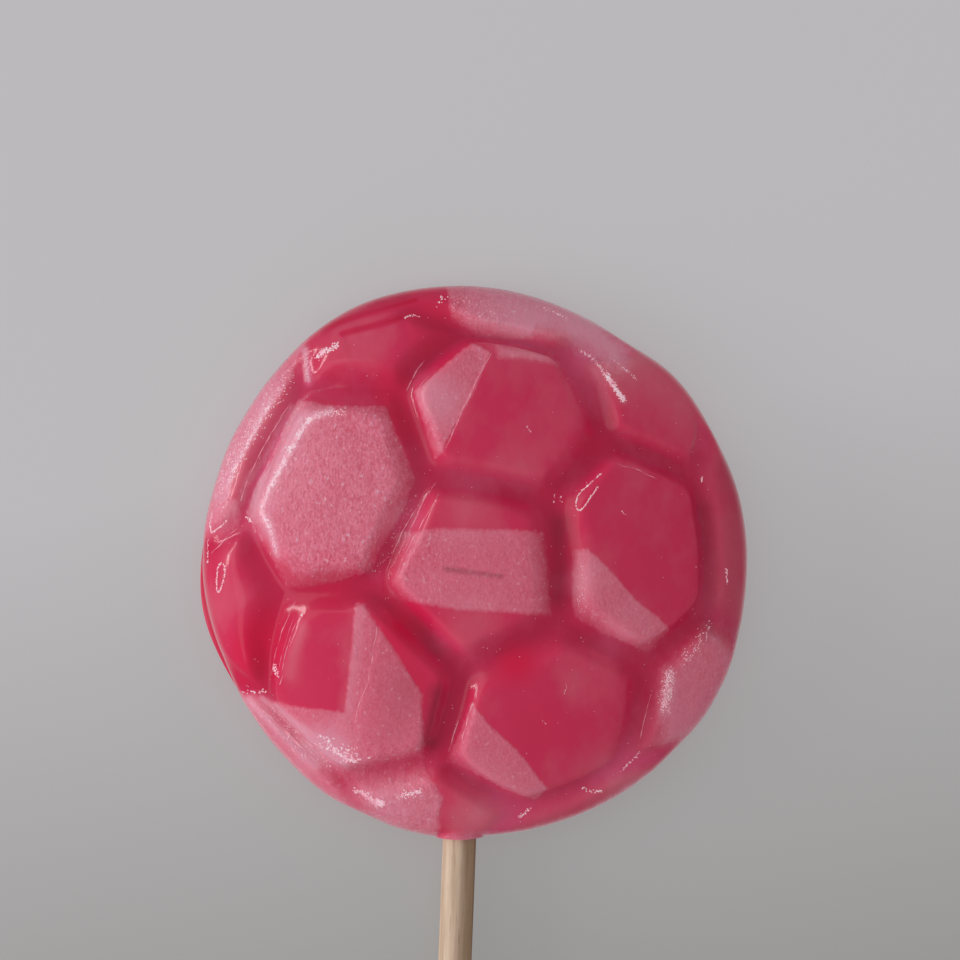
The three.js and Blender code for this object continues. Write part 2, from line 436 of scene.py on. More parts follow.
def surface_over(plan):
    """Points and normals of the finished surface that show at points of the plan."""
    root = plan
    for _ in range(SURFACE_TRIES):
        _, normal = dome_at(root)
        relief, _ = dress_relief(root)
        better = plan - normal[:, :2] * relief[:, None]
        root = (1 - SURFACE_STRIDE) * root + SURFACE_STRIDE * better
    base, normal = dome_at(root)
    relief, _ = dress_relief(root)
    return base + normal * relief[:, None], normal


def sweet_points():
    """The dome's vertices ring by ring, the seams' share at each, and each ring's count."""
    semi = np.linspace(0, math.pi / 2, PROFILE_STEPS)
    run = np.cumsum(np.hypot(
        np.diff(SWEET_RADIUS * np.sin(semi), prepend=0),
        np.diff(DOME_HEIGHT * np.cos(semi), prepend=DOME_HEIGHT),
    ))
    polar = np.interp(np.linspace(0, run[-1], CAP_RINGS + 1), run, semi)

    rings = []
    for k, angle in enumerate(polar):
        azimuth = full_turn(max(1, 6 * k))
        radius = dome_radius(azimuth) * math.sin(angle)
        rings.append(level_ring(radius, azimuth, RIM_HEIGHT + DOME_HEIGHT * math.cos(angle)))
    points = np.vstack(rings)
    plan = points[:, :2]
    _, normal = dome_at(plan)
    relief, share = dress_relief(plan)
    points = points + normal * relief[:, None]

    over = collar_height(plan[:, 0])
    near = (plan[:, 1] < COLLAR_FROM_RIM - SWEET_RADIUS) & (over > STICK_AXIS_Z)
    blended = np.logaddexp(points[near, 2] * COLLAR_BLEND, over[near] * COLLAR_BLEND) / COLLAR_BLEND
    points[near, 2] = blended
    return points, share, [len(ring) for ring in rings]


def sweet_wall(top_ring):
    """Rows of the rim wall below the dome's last ring, down to the flat back."""
    azimuth = full_turn(len(top_ring))
    foot_radius = dome_radius(azimuth)
    foot = level_ring(foot_radius, azimuth, LIP_HEIGHT)
    rows = [top_ring * (1 - t) + foot * t for t in np.arange(1, WALL_ROWS + 1) / WALL_ROWS]
    lip_radius = SWEET_RADIUS + outline_swell(azimuth)
    for out, height in LIP_PROFILE:
        radius = foot_radius + (lip_radius - foot_radius) * out
        rows.append(level_ring(radius, azimuth, LIP_HEIGHT * height))
    for angle in np.linspace(0, math.pi / 2, BACK_EDGE_ROWS + 1)[1:]:
        radius = lip_radius - BACK_EDGE_RADIUS * (1 - math.cos(angle))
        rows.append(level_ring(radius, azimuth, BACK_EDGE_RADIUS * (1 - math.sin(angle))))
    return rows


def zip_faces(first, first_count, second, second_count):
    """Triangles between two rings of vertices with different counts, both counter-clockwise."""
    faces = []
    i = j = 0
    while i < first_count or j < second_count:
        a, b = first + i % first_count, second + j % second_count
        if j >= second_count or (i < first_count and (i + 1) * second_count <= (j + 1) * first_count):
            faces.append((a, first + (i + 1) % first_count, b))
            i += 1
        else:
            faces.append((a, second + (j + 1) % second_count, b))
            j += 1
    return faces


def band_faces(first, second, count):
    """Quads between two rings with the same count of vertices."""
    ahead = [*range(1, count), 0]
    return [(first + j, second + j, second + ahead[j], first + ahead[j]) for j in range(count)]


def tube_faces(start, rows, count):
    """Quads round a tube, whose rings of vertices follow each other from a start index."""
    ahead = [*range(1, count), 0]
    return [
        (row + j, row + ahead[j], row + count + ahead[j], row + count + j)
        for row in range(start, start + (rows - 1) * count, count)
        for j in range(count)
    ]


def add_object(name, data):
    made = bpy.data.objects.new(name, data)
    bpy.context.scene.collection.objects.link(made)
    return made


def make_mesh(name, points, faces, attributes=None):
    mesh = bpy.data.meshes.new(name)
    mesh.from_pydata((np.asarray(points) * MM).tolist(), [], faces)
    for key, values in (attributes or {}).items():
        layer = mesh.attributes.new(key, "FLOAT", "POINT")
        layer.data.foreach_set("value", np.asarray(values, np.float32))
    mesh.polygons.foreach_set("use_smooth", [True] * len(mesh.polygons))
    mesh.update()
    return add_object(name, mesh)


# ---- marbling


# Pearly sugar: softness of the patch's edge, and its corners on the plan
PEARL_PATCHES = {
    "left_panel": (0.35, [
        (-27, 5), (-21.4, 18.3), (-18.6, 17.9), (-10.8, 17.9), (-7, 9.4), (-11.7, -1.7), (-21.6, -4.1),
    ]),
    "upper_left_rim": (0.5, [
        (-34, 4.5), (-29.4, 6), (-27.8, 10.4), (-25.8, 14.6), (-23.8, 18.3), (-21.6, 21.6), (-20.3, 26.5),
        (-26, 26),
    ]),
    # painted highlight: the pale bar on the upper left pentagon
    "upper_left_bar": (0.3, [(-21.1, 24.6), (-20.4, 24.6), (-19.8, 20.4), (-20.6, 20.3)]),
    "left_corner": (0.6, [(-34, 5), (-28, 6.5), (-27.5, 3.5), (-30, 1.2), (-34, 0.5)]),
    "top_panel_side": (0.25, [(-4.9, 11.8), (-7.6, 19.7), (-1.1, 25.7), (1.1, 24.6), (-4, 12.6)]),
    "top_panel_edge": (0.9, [(1.9, 25.4), (8.3, 24.3), (9, 23.6), (2.2, 24.2)]),
    "top_rim": (0.6, [(-4.6, 34), (-3.4, 28.4), (-0.2, 26.6), (6, 26.4), (8, 34)]),
    "top_rim_end": (2.4, [
        (-1, 34), (0, 28.5), (9.2, 27), (13.5, 25), (16.5, 23.4), (17, 26), (13, 30), (7, 33),
    ]),
    "middle_panel": (0.6, [(-9, 3.4), (8, 4.1), (9.4, -5.9), (-10.2, -4.6)]),
    "right_panel": (0.35, [
        (11.4, 2.2), (13.2, 2.1), (19.6, -3.7), (23.4, -7), (20.8, -10.2), (12, -5.9),
    ]),
    "lower_panel": (0.35, [
        (0.6, -16.2), (5.9, -21.9), (9.9, -26.2), (8.8, -27.6), (4.1, -26.2), (-2.8, -23.2),
    ]),
    "left_groove": (0.9, [
        (-28, 6), (-26.6, 9), (-24.3, 13.8), (-22.2, 17.6), (-21.9, 17.4), (-24, 13.4), (-26.3, 8.7),
        (-27.6, 5.8),
    ]),
    "lower_left_panel": (0.45, [
        (-12.4, -5.2), (-13.2, -5.2), (-13.7, -12), (-14.3, -18.1), (-22.5, -17.2), (-27.5, -16.3),
        (-34, -17), (-20, -32), (-8, -34), (-4.4, -27), (-5.4, -15.6),
    ]),
    "bottom_pentagon": (0.7, [(-12, -25), (-4.6, -24.6), (-2.6, -28), (-3, -33), (-12, -34)]),
    "lower_right_pentagon": (2.4, [
        (23, -12.2), (27.6, -6.8), (31.5, -7.5), (31, -14.5), (26, -21.6), (22.6, -20.2),
    ]),
    "bottom_rim": (1.6, [
        (-3, -35), (-3, -32.6), (6, -32), (14, -29.6), (22, -24.2), (26, -28), (10, -36),
    ]),
}
PATCH_WANDER = [(9.0, 0.16, 21), (0.9, 0.05, 23)]  # wavelength, reach, seed


def path_distance(plan, corners):
    """Distance to a path of straight pieces."""
    corners = np.array(corners, float)
    nearest = np.full(len(plan), 1e9)
    for start, end in zip(corners[:-1], corners[1:]):
        edge = end - start
        t = np.clip((plan - start) @ edge / (edge @ edge), 0, 1)
        nearest = np.minimum(nearest, np.linalg.norm(plan - start - t[:, None] * edge, axis=1))
    return nearest


def patch_distance(plan, corners):
    """Signed distance to a patch's edge, negative inside."""
    nearest = path_distance(plan, [*corners, corners[0]])
    corners = np.array(corners, float)
    inside = np.zeros(len(plan), bool)
    for start, end in zip(corners, np.roll(corners, -1, axis=0)):
        edge = end - start
        crosses = (start[1] > plan[:, 1]) != (end[1] > plan[:, 1])
        at = start[0] + (plan[:, 1] - start[1]) * edge[0] / (edge[1] if edge[1] else 1e-9)
        inside ^= crosses & (plan[:, 0] < at)
    return np.where(inside, -nearest, nearest)


def pearl_share(plan):
    """How pearly the sugar is at points of the plan, 0 to 1."""
    shaken = plan.copy()
    for wavelength, reach, seed in PATCH_WANDER:
        shift = [wander(plan, wavelength, seed), wander(plan, wavelength, seed + 1)]
        shaken += reach * np.column_stack(shift)
    share = np.zeros(len(plan))
    for softness, corners in PEARL_PATCHES.values():
        edge = patch_distance(shaken, corners)
        share = np.maximum(share, 1 - smoothstep(-softness, softness, edge))
    return share


TONE_CRISPNESS = 2.6
# Milky (above 0) and deep (below 0) spots in the sugar: middle on the plan, reach, amount
TONE_SPOTS = [
    ((-0.5, 6.5), 3.4, 0.44),
    ((-16.5, 8.5), 9, 0.22),
    ((-0.5, -8.2), 4.2, 0.42),
    ((6, 14), 4, 0.2),
    ((12, 18), 4, 0.12),
    ((-14, 26), 4.5, 0.38),
    ((9.7, 19.2), 3.5, 0.2),
    ((4.3, 18), 3, 0.08),
    ((18.6, 8.5), 4, 0.14),
    ((18.5, -6.5), 3.4, 0.22),
    ((-4.2, 19.2), 3.2, 0.16),
    ((-16, -26.4), 2.4, -0.4),
    # painted shade: a darker spot on the lower left panel
    ((-9.9, -21), 3, -0.08),
    ((-28.5, -6), 3.4, 0.4),
    ((21, 19), 6, 0.14),
    ((14, -13), 3.6, 0.28),
    ((9.5, -19), 3.6, -0.14),
    ((12, 31), 7, 0.8),
    ((15, 26), 4.5, 1),
    ((22, 24), 6, 0.45),
    ((29.5, 14), 5.5, 0.35),
    ((31.5, 4), 4.5, 0.5),
    ((31.5, -4), 4.5, 0.5),
    ((19.5, -25), 4, 0.35),
    ((28, -12), 6.5, 0.15),
    ((24, -21.5), 5.5, 0.4),
    ((17, -27), 5.5, 0.5),
    ((9, -31.5), 5, 0.6),
    ((2, -31), 4, 0.6),
    ((1, -27), 4, 0.4),
    ((-7.9, 4.7), 2.4, 0.6),
    ((-2, 10.9), 2, 0.3),
    ((2, 10.8), 2, 0.3),
    ((5.6, 10.4), 2, 0.3),
    ((16.3, -9.5), 2.6, 0.3),
    ((-26.6, 9), 4.5, 0.35),
    ((-23.3, 16), 4.5, 0.35),
    ((5.7, 26.7), 3.5, 0.4),
    ((-5.6, 18.5), 3.2, 0.6),
    ((-16.2, -22.5), 3, 0.8),
    ((2, 29.8), 4.5, 0.6),
    ((12.6, -1), 2.8, 0.5),
    ((-30.5, 8), 6, 0.45),
    ((-27, 18), 6, 0.4),
    ((-13, -29), 5, 0.4),
    ((-7, -28.5), 4, 0.4),
    ((-20, -26), 5, 0.3),
    ((-7.4, -14), 5, -0.4),
    ((-9, -8), 3, -0.3),
    ((-24.6, -8.6), 3.2, -0.9),
    ((-25.6, -12.5), 3, -0.7),
    ((-5.8, 27.6), 3.6, -0.35),
    ((5.4, -11.4), 2.4, -0.8),
    ((-7.1, -7.4), 2.4, -0.6),
    ((13.1, 14.8), 2.6, -0.35),
    ((-8, 16.4), 2.4, -0.6),
    ((-10, 20), 2.4, -0.5),
    ((-16.5, -3.7), 3, -0.5),
    ((9.9, 1), 2.2, -0.5),
]

# The left panel's edge, from its upper side round its left corner, where a painted highlight band and pale
# glowing grains lie
LEFT_EDGE = [
    (-17.4, 17), (-19.1, 16.5), (-20.2, 15.7), (-22.1, 12.1), (-24.1, 7.8),
    (-25.1, 5.7), (-24.8, 4.5), (-23.9, 3.3), (-23, 0.2),
]
# The foot of the lower right pentagon, where a painted highlight lies
LOWER_RIGHT_HIGHLIGHT = [(23.4, -11.9), (23.4, -14), (23, -16.6)]
# Dark streaks along the folds of the upper left rim, drawn deep red and darkened with painted shade
INNER_STREAK = [(-16.4, 26.3), (-12.6, 27.4), (-9.6, 28.4)]
OUTER_STREAK = [(-18.6, 27), (-13.5, 28.9), (-8, 30.6)]

# Milky (above 0) and deep (below 0) streaks: half width, amount, points on the plan. The milky streaks
# along the left panel's edge, the upper left rim, its pale bar and the upper and lower right pentagons are
# painted highlights.
TONE_PATHS = [
    # painted highlight bands along the left panel's edge and the upper left rim, and on the rim's pale bar
    (0.5, 0.9, LEFT_EDGE),
    (1.1, 0.4, [(-20.9, 16.6), (-22.3, 13.9), (-24.3, 9.7), (-25.6, 6.6), (-25.6, 4.6), (-24.6, 2.6)]),
    (0.9, 0.25, [(-24.5, 18.1), (-26.3, 14.6), (-28.3, 10.4), (-29.8, 6.4)]),
    (0.45, 1, [(-20.7, 24.4), (-20.4, 22.5), (-20.2, 20.4)]),
    (0.35, -0.9, INNER_STREAK),
    (0.35, -0.9, OUTER_STREAK),
    (0.45, 0.6, [(-25.9, -17.3), (-22.6, -20.3), (-19.3, -23.2), (-17.6, -24.7)]),
    (0.4, 0.7, [(-24.2, -16.9), (-20.8, -19.5), (-17.4, -22.1), (-14.1, -24.3)]),
    (0.4, 0.6, [(-22.5, -17.7), (-19.6, -19.7), (-16.9, -21.7), (-14.2, -23.3)]),
    # painted highlights on the upper and lower right pentagons
    (0.5, 0.5, [(13, 24.7), (14.5, 22.9), (15.7, 21.3), (16.9, 19.6)]),
    (0.9, 0.6, LOWER_RIGHT_HIGHLIGHT),
    (1.2, 0.5, [(-25.6, -17.2), (-22, -20.2), (-18.8, -22.8)]),
    (1.2, 0.4, [(-13.2, -6), (-13.5, -12), (-14.2, -17.6)]),
    (0.9, 0.5, [(-19.6, -8.4), (-20.2, -10.5), (-21, -13.8)]),
]

# Painted shade, laid on as darker colour: in and beside the seams, along the dent, over the right rim and
# along the upper left rim's folds and outer edge; half width, share, points on the plan
SHADE_PATHS = [
    (1.3, 0.3, [(9.8, 4.9), (9.8, -3.4)]),
    (1.3, 0.42, [(-3.6, -15.3), (-4.4, -21)]),
    (1.4, 0.22, [(26.9, 7.3), (28, 0.2), (27.8, -7)]),
    (1.8, 0.25, [(29.4, 12), (30.6, 7.3), (30.9, 0.2), (30.4, -7)]),
    (1.6, 0.12, [(-2, 10.4), (5.6, 9.6)]),
    (1, 0.2, [(-6.4, -7), (-4, -10.5)]),
    (0.3, 0.26, [(-3, -0.7), (3.4, -1.3)]),
    (0.3, 0.14, INNER_STREAK),
    (0.3, 0.16, OUTER_STREAK),
    (1, 0.15, [(-18.5, 27), (-12, 30.2), (-9.5, 31)]),
    (2.8, 0.1, [(-7, -14.5), (-8.5, -20)]),
]


def tone(plan):
    """How milky (to 1) or deep (to -1) the sugar is at points of the plan; along the highlights the
    milkiness is painted highlight, and one deep spot is painted shade.
    """
    total = np.zeros(len(plan))
    for middle, reach, amount in TONE_SPOTS:
        total += amount * spot(plan, middle, reach, TONE_CRISPNESS)
    for half_width, amount, path in TONE_PATHS:
        total += amount * np.exp(-((path_distance(plan, path) / half_width) ** 2))
    return np.clip(total, -1, 1)


# Where the pearly sugar's flakes are coarsest: middle on the plan, reach
COARSE_SPOTS = [((-16.5, 8), 13), ((-27, 14), 9), ((0, 31), 6), ((-8, -28), 6)]
COARSE_ELSEWHERE = 0.45


def coarseness(plan):
    share = np.max([spot(plan, middle, reach) for middle, reach in COARSE_SPOTS], axis=0)
    return COARSE_ELSEWHERE + (1 - COARSE_ELSEWHERE) * share


def shade(plan):
    """How much painted shade darkens the sugar at points of the plan, 0 to 1."""
    total = np.zeros(len(plan))
    for half_width, share, path in SHADE_PATHS:
        total = np.maximum(total, share * np.exp(-((path_distance(plan, path) / half_width) ** 2)))
    return total


# ---- materials


def srgb(red, green, blue):
    """A colour given as 0 to 255 sRGB, as linear RGBA."""
    def linear(value):
        value /= 255
        return value / 12.92 if value <= 0.04045 else ((value + 0.055) / 1.055) ** 2.4
    return (linear(red), linear(green), linear(blue), 1.0)


class Shader:
    """The node tree of a material or a world, with short ways to add and join nodes."""

    def __init__(self, owner):
        self.owner = owner
        owner.use_nodes = True
        self.tree = owner.node_tree
        self.surface = self.tree.nodes.get("Principled BSDF")

    def node(self, kind, **settings):
        made = self.tree.nodes.new(kind)
        for key, value in settings.items():
            setattr(made, key, value)
        return made

    def join(self, source, target):
        self.tree.links.new(source, target)

    def put(self, target, value):
        """Sets a socket, or links it when the value is a socket."""
        if isinstance(value, bpy.types.NodeSocket):
            self.join(value, target)
        else:
            target.default_value = value

    def dress(self, settings):
        """Sets or links the surface's sockets by their names."""
        for name, value in settings.items():
            self.put(self.surface.inputs[name], value)

    def attribute(self, name):
        return self.node("ShaderNodeAttribute", attribute_name=name).outputs["Fac"]

    def math(self, operation, first, second=0.0, third=0.0):
        made = self.node("ShaderNodeMath", operation=operation)
        for socket, value in zip(made.inputs, (first, second, third)):
            self.put(socket, value)
        return made.outputs[0]

    def mix(self, share, first, second):
        made = self.node("ShaderNodeMix", data_type="RGBA")
        self.put(made.inputs["Factor"], share)
        self.put(made.inputs["A"], first)
        self.put(made.inputs["B"], second)
        return made.outputs["Result"]

    def span(self, value, low, high, to_low, to_high):
        made = self.node("ShaderNodeMapRange")
        for socket, given in zip(made.inputs, (value, low, high, to_low, to_high)):
            self.put(socket, given)
        return made.outputs["Result"]

    def coordinates(self, stretch=(1, 1, 1)):
        place = self.node("ShaderNodeTexCoord").outputs["Object"]
        made = self.node("ShaderNodeMapping")
        made.inputs["Scale"].default_value = stretch
        self.join(place, made.inputs["Vector"])
        return made.outputs["Vector"]

    def noise(self, where, scale, detail=2.0, roughness=0.5):
        made = self.node("ShaderNodeTexNoise")
        self.join(where, made.inputs["Vector"])
        made.inputs["Scale"].default_value = scale
        made.inputs["Detail"].default_value = detail
        made.inputs["Roughness"].default_value = roughness
        return made.outputs["Fac"]

    def bump(self, height, strength, depth):
        made = self.node("ShaderNodeBump")
        self.join(height, made.inputs["Height"])
        made.inputs["Strength"].default_value = strength
        made.inputs["Distance"].default_value = depth
        return made.outputs["Normal"]


RED_CLEAR = srgb(231, 53, 98)
RED_MILKY_AND_HIGHLIGHT = srgb(236, 116, 138)
RED_MAUVE = srgb(244, 96, 142)
RED_SEAM_TINT_AND_SHADE = srgb(218, 37, 84)
RED_DEEP = srgb(232, 16, 74)
PEARL_DARK = srgb(229, 84, 114)
PEARL_PALE = srgb(255, 140, 168)
PEARL_SEAM_TINT_AND_SHADE = srgb(228, 72, 104)
PEARL_MILKY_AND_HIGHLIGHT = srgb(255, 172, 194)
PEARL_DEEP = srgb(208, 80, 106)
PEARL_FLECK = srgb(255, 200, 218)
# colour of the painted shade
SHADED = srgb(112, 30, 46)

# Noises in the sugar: waves to the metre, detail, roughness
CLOUDS = (230, 3, 0.6)
MOTTLES = (1000, 2, 0.6)
GRAINS = (2800, 2, 0.7)
FLECKS = (2000, 1, 0.5)
NOISE_STRETCH = (1.3, 0.85, 1.0)

PEARL_BREAKUP = 0.5  # how much the mottles break the patches' edges up
PEARL_EDGE = (0.15, 0.85)
PEARL_LOSS_IN_SEAMS = 0.7
CLOUD_CONTRAST = 0.8
MOTTLE_SHARE, CLOUD_SHARE, GRAIN_SHARE = 0.55, 0.45, 1.2
FLAKE_CONTRAST = 2.0
ROSE_SEAM_TINT_AND_SHADE_SHARE = 0.7
ROSE_MILKY_AND_HIGHLIGHT_SHARE = 0.8
FLECK_RANGE = (0.66, 0.74)
FLECK_SHARE = 0.6

SUGAR_ROUGHNESS = 0.18
PEARL_ADDS = 0.14
CLOUD_ADDS = 0.08
BUMP_DEPTH = 0.1 * MM
BUMP_OF_CLEAR = 0.07  # height of the clear sugar's bumps beside the pearly sugar's
MOTTLE_BUMP = 1.2


def sugar_material():
    shader = Shader(bpy.data.materials.new("boiled_sugar"))
    where = shader.coordinates(NOISE_STRETCH)
    sunk = shader.attribute("sunk")
    coarse = shader.attribute("coarse")
    tone_here = shader.attribute("tone")
    deep = shader.math("MULTIPLY", tone_here, -1.0)
    cloud = shader.noise(where, *CLOUDS)
    mottle = shader.noise(where, *MOTTLES)
    grain = shader.noise(where, *GRAINS)

    # the pearly sugar's flakes break its edge up, and it thins out in the seams, except where it is milky
    # and where a highlight is painted
    spread = shader.math("MULTIPLY", shader.math("SUBTRACT", mottle, 0.5), PEARL_BREAKUP)
    not_milk_nor_highlight = shader.math("SUBTRACT", 1.0, shader.math("MAXIMUM", tone_here, 0.0))
    clear = shader.math("MULTIPLY", sunk, not_milk_nor_highlight)
    left = shader.math("MULTIPLY_ADD", clear, -PEARL_LOSS_IN_SEAMS, 1.0)
    pearl = shader.math("MULTIPLY", shader.attribute("pearl"), left)
    pearl = shader.span(shader.math("ADD", spread, pearl), *PEARL_EDGE, 0, 1)

    # clear red sugar: darker in the seams, partly its own deeper colour and partly painted shade; milky in
    # places, and paler where a highlight is painted
    red = shader.mix(sunk, RED_CLEAR, RED_SEAM_TINT_AND_SHADE)
    milk_and_highlight = shader.math("MULTIPLY_ADD", shader.math("SUBTRACT", cloud, 0.5), CLOUD_CONTRAST, tone_here)
    red = shader.mix(milk_and_highlight, red, shader.mix(sunk, RED_MILKY_AND_HIGHLIGHT, RED_MAUVE))
    red = shader.mix(deep, red, RED_DEEP)

    # pearly pink sugar, with flakes and single flecks; darker in the seams, partly its own colour and
    # partly painted shade, and paler where a highlight is painted
    blotch = shader.math("MULTIPLY", mottle, MOTTLE_SHARE)
    blotch = shader.math("ADD", blotch, shader.math("MULTIPLY", cloud, CLOUD_SHARE))
    flakes = shader.math("MULTIPLY_ADD", shader.math("SUBTRACT", grain, 0.5), GRAIN_SHARE, blotch)
    contrast = shader.math("MULTIPLY", shader.math("SUBTRACT", flakes, 0.5), coarse)
    paleness = shader.math("MULTIPLY_ADD", contrast, FLAKE_CONTRAST, 0.5)
    rose = shader.mix(paleness, PEARL_DARK, PEARL_PALE)
    rose = shader.mix(shader.math("MULTIPLY", sunk, ROSE_SEAM_TINT_AND_SHADE_SHARE), rose, PEARL_SEAM_TINT_AND_SHADE)
    rose = shader.mix(shader.math("MULTIPLY", tone_here, ROSE_MILKY_AND_HIGHLIGHT_SHARE), rose, PEARL_MILKY_AND_HIGHLIGHT)
    rose = shader.mix(deep, rose, PEARL_DEEP)
    fleck = shader.span(shader.noise(where, *FLECKS), *FLECK_RANGE, 0, FLECK_SHARE)
    rose = shader.mix(shader.math("MULTIPLY", fleck, coarse), rose, PEARL_FLECK)

    colour = shader.mix(pearl, red, rose)
    # painted shade over the sugar
    colour = shader.mix(shader.attribute("shade"), colour, SHADED)
    rough = shader.math("MULTIPLY_ADD", pearl, PEARL_ADDS, SUGAR_ROUGHNESS)
    rough = shader.math("MULTIPLY_ADD", cloud, CLOUD_ADDS, rough)

    rise = shader.math("MULTIPLY_ADD", mottle, MOTTLE_BUMP, grain)
    pearly_part = shader.math("MULTIPLY", pearl, coarse)
    share = shader.math("MULTIPLY_ADD", pearly_part, 1 - BUMP_OF_CLEAR, BUMP_OF_CLEAR)
    normal = shader.bump(shader.math("MULTIPLY", rise, share), 1.0, BUMP_DEPTH)
    shader.dress({
        "Base Color": colour,
        "Roughness": rough,
        "Normal": normal,
        "Coat Normal": normal,
        "Coat Weight": 0.9,
        "Coat Roughness": 0.08,
        "Subsurface Weight": 0.35,
        "Subsurface Radius": (1.0, 0.25, 0.3),
        "Subsurface Scale": 0.0018,
        "IOR": 1.49,
    })
    return shader.owner


def glint_material(name, dull, pale, glow):
    """Pale, hard sugar of the thin ridges and grains, with a painted glow standing in for their
    highlights.
    """
    shader = Shader(bpy.data.materials.new(name))
    tint = shader.noise(shader.coordinates(), 900, 2)
    shader.dress({
        "Base Color": shader.mix(shader.span(tint, 0.35, 0.65, 0, 1), dull, pale),
        "Emission Color": pale,
        "Emission Strength": glow,
        "Roughness": 0.2,
        "Coat Weight": 1.0,
        "Coat Roughness": 0.1,
    })
    return shader.owner


# The dowel's wood: light and dark grain on its lit side and on its far side
WOOD_LIT = (srgb(236, 210, 184), srgb(200, 168, 140))
WOOD_FAR = (srgb(178, 146, 112), srgb(140, 106, 74))
WOOD_FLECK = srgb(120, 88, 62)
WOOD_GRAIN = (1400, 60, 1400)  # waves to the metre across, along and through the dowel
WOOD_FLECKS = (5000, 300, 5000)
FAR_SIDE = (-0.2, 0.95)  # where the one side goes over to the other, in radii from the axis


def wood_material():
    shader = Shader(bpy.data.materials.new("stick_wood"))
    grain = shader.noise(shader.coordinates(WOOD_GRAIN), 1.0, 4, 0.6)
    fleck = shader.noise(shader.coordinates(WOOD_FLECKS), 1.0, 2, 0.6)
    lit = shader.mix(shader.span(grain, 0.35, 0.7, 0, 1), *WOOD_LIT)
    far = shader.mix(shader.span(grain, 0.35, 0.7, 0, 1), *WOOD_FAR)
    place = shader.node("ShaderNodeSeparateXYZ")
    shader.join(shader.coordinates(), place.inputs[0])
    start, end = ((STICK_AXIS_X + share * STICK_RADIUS) * MM for share in FAR_SIDE)
    colour = shader.mix(shader.span(place.outputs["X"], start, end, 0, 1), lit, far)
    shader.dress({
        "Base Color": shader.mix(shader.span(fleck, 0.62, 0.75, 0, 0.5), colour, WOOD_FLECK),
        "Roughness": 0.62,
        "Normal": shader.bump(grain, 0.4, 0.08 * MM),
    })
    return shader.owner


FLOOR_PALE = srgb(226, 224, 226)
FLOOR_DIM = srgb(184, 183, 181)
# the floor's own glow is painted light that fills in the sweet's shadow
FLOOR_PAINT = 0.35  # share of the floor's colour that is paint; the rest is its own glow
FLOOR_GLOW = 0.42
FLOOR_FADE = (0.015, -0.06)  # where the dimming starts and ends, in metres up the picture
FLOOR_FADE_SLANT = -0.2
FLOOR_HALF_SIDE = 2.0
FLOOR_GAP = 0.02 * MM  # keeps the floor clear of the sweet's flat back


def floor_material():
    """A pale floor that partly glows as painted light, a little dimmer towards the lower right as painted
    fall-off of light.
    """
    shader = Shader(bpy.data.materials.new("floor_paint"))
    place = shader.node("ShaderNodeSeparateXYZ")
    shader.join(shader.node("ShaderNodeTexCoord").outputs["Object"], place.inputs[0])
    across = shader.math("MULTIPLY", place.outputs["X"], FLOOR_FADE_SLANT)
    fade = shader.span(shader.math("ADD", across, place.outputs["Y"]), *FLOOR_FADE, 0, 1)
    tint = shader.mix(fade, FLOOR_PALE, FLOOR_DIM)
    shader.dress({
        "Base Color": shader.mix(FLOOR_PAINT, (0, 0, 0, 1), tint),
        "Emission Color": tint,
        "Emission Strength": FLOOR_GLOW,
        "Roughness": 0.9,
    })
    return shader.owner


# ---- pieces


def make_sweet():
    points, share, counts = sweet_points()
    starts = np.concatenate([[0], np.cumsum(counts)])
    faces = []
    for k in range(CAP_RINGS):
        faces += [
            tuple(reversed(face))
            for face in zip_faces(starts[k], counts[k], starts[k + 1], counts[k + 1])
            if len(set(face)) == 3
        ]
    top_ring = points[starts[CAP_RINGS]:starts[CAP_RINGS] + counts[CAP_RINGS]]
    rows = sweet_wall(top_ring)
    around = counts[-1]
    above = starts[CAP_RINGS]
    for row in rows:
        below = len(points)
        points = np.vstack([points, row])
        faces += band_faces(above, below, around)
        above = below

    # the flat back: fewer and fewer vertices towards the middle
    back_start, back_count = above, around
    for shrink in BACK_RINGS:
        count = max(FEWEST_ON_A_BACK_RING, back_count // 2)
        azimuth = full_turn(count)
        radius = (SWEET_RADIUS + outline_swell(azimuth) - BACK_EDGE_RADIUS) * shrink
        start = len(points)
        points = np.vstack([points, level_ring(radius, azimuth, 0)])
        faces += zip_faces(back_start, back_count, start, count)
        back_start, back_count = start, count
    centre = len(points)
    points = np.vstack([points, [[0, 0, 0]]])
    faces += [(back_start + (j + 1) % back_count, back_start + j, centre) for j in range(back_count)]

    plan = points[:, :2]
    share = np.concatenate([share, np.zeros(len(points) - len(share))])
    sweet = make_mesh("sweet", points, faces, {
        "pearl": pearl_share(plan),
        "tone": tone(plan),
        "shade": shade(plan),
        "coarse": coarseness(plan),
        "sunk": share,
    })
    sweet.data.materials.append(sugar_material())
    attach(sweet, "root")
    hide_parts("candy_head")


# Closed loops of painted highlight, drawn as pale glowing ridges and grains, at the right panel's corner
# and on the left pentagon
RIGHT_LOOP = [(14.4, 10.9), (13.2, 9.7), (11.9, 8.5), (11.6, 7.1), (12.2, 6.4), (13.3, 8.1), (14.2, 9.5)]
LEFT_LOOP = [
    (-29.5, -1.1), (-30, -1.6), (-30.1, -2.6), (-30.1, -4.2), (-29.9, -4.9),
    (-29.5, -4.1), (-29.2, -2.9), (-29.1, -1.8), (-29.4, -1.1),
]
